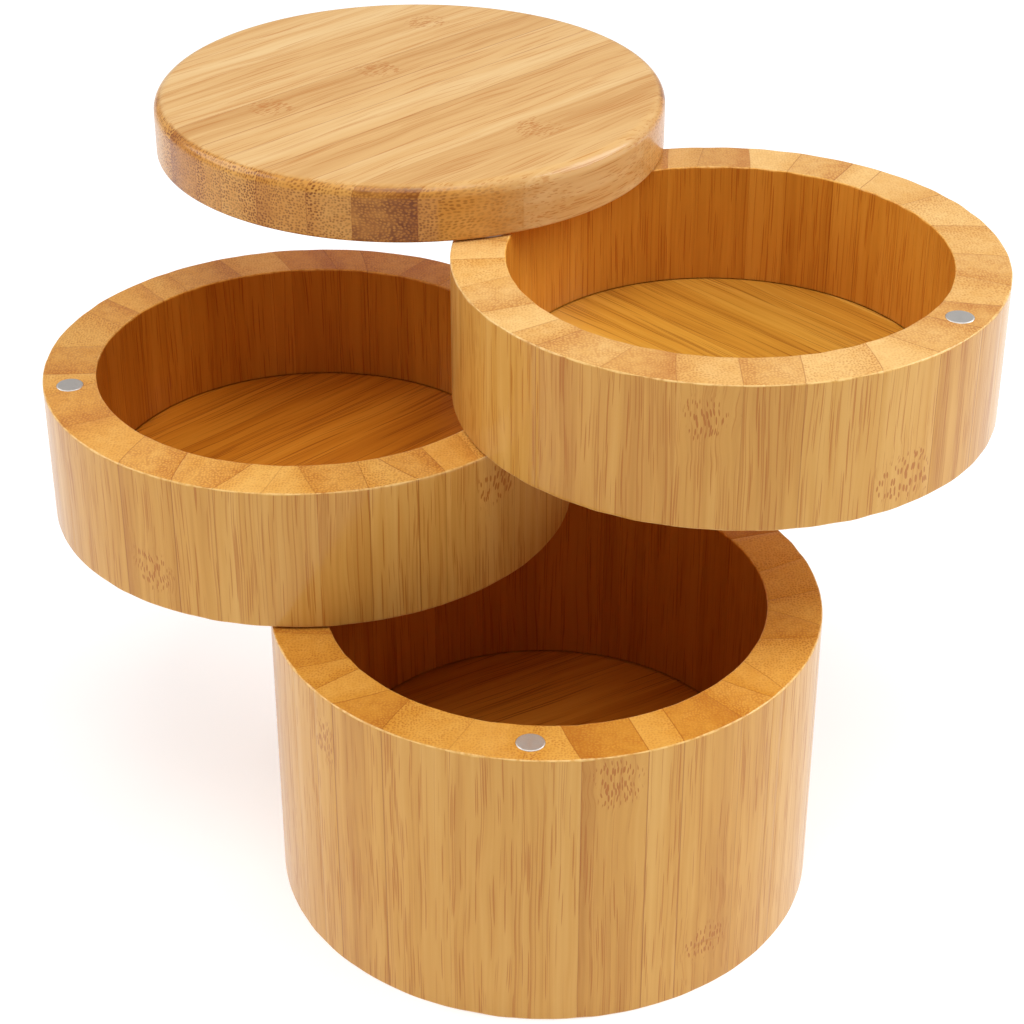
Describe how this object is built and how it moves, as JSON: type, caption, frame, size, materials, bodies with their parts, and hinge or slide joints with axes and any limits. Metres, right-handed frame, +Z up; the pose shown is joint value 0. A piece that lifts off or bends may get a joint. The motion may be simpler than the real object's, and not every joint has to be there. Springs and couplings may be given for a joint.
{
  "type": "round swivel-tier box",
  "caption": "Round bamboo box: a deep base, shallow trays and a disc lid that swing sideways on hidden upright pins, with disc magnets in the rims.",
  "frame": {"origin": "centre of the base's flat underside, on the surface it stands on", "axes": "+Z up along every pivot, -Y the front, where the base's rim magnet is, and +Y the back, where the base's pivot pin is"},
  "size_m": [0.2251, 0.2283, 0.157],
  "materials": {
    "bamboo_wall": "laminated bamboo staves, oiled satin",
    "bamboo_floor": "laminated bamboo strips, oiled satin",
    "bamboo_lid": "laminated bamboo strips, lacquered satin",
    "nickel_magnet": "nickel plated, lightly brushed",
    "steel_pin": "turned steel",
    "brass_bush": "turned brass",
    "nylon_washer": "plain nylon"
  },
  "bodies": {
    "base": {"base_wall": "bamboo_wall", "base_floor": "bamboo_floor", "base_rim_magnet": "nickel_magnet", "middle_pivot_pin": "steel_pin", "middle_pivot_washer": "nylon_washer"},
    "middle_tray": {"middle_wall": "bamboo_wall", "middle_floor": "bamboo_floor", "middle_catch_magnet": "nickel_magnet", "middle_rim_magnet": "nickel_magnet", "middle_pivot_bush": "brass_bush", "upper_pivot_pin": "steel_pin", "upper_pivot_washer": "nylon_washer"},
    "upper_tray": {"upper_wall": "bamboo_wall", "upper_floor": "bamboo_floor", "upper_catch_magnet": "nickel_magnet", "upper_rim_magnet": "nickel_magnet", "upper_pivot_bush": "brass_bush", "lid_pivot_pin": "steel_pin", "lid_pivot_washer": "nylon_washer"},
    "lid": {"lid_panel": "bamboo_lid", "lid_catch_magnet": "nickel_magnet", "lid_pivot_bush": "brass_bush"}
  },
  "joints": [
    {"name": "middle_swivel", "type": "hinge", "parent": "base", "child": "middle_tray", "pos_m": [0, 0.05715, 0.072], "axis": [0, 0, 1], "continuous": true},
    {"name": "upper_swivel", "type": "hinge", "parent": "middle_tray", "child": "upper_tray", "pos_m": [-0.00289, 0.06874, 0.1075], "axis": [0, 0, 1], "continuous": true},
    {"name": "lid_swivel", "type": "hinge", "parent": "upper_tray", "child": "lid", "pos_m": [-0.01368, 0.04757, 0.143], "axis": [0, 0, 1], "continuous": true}
  ]
}
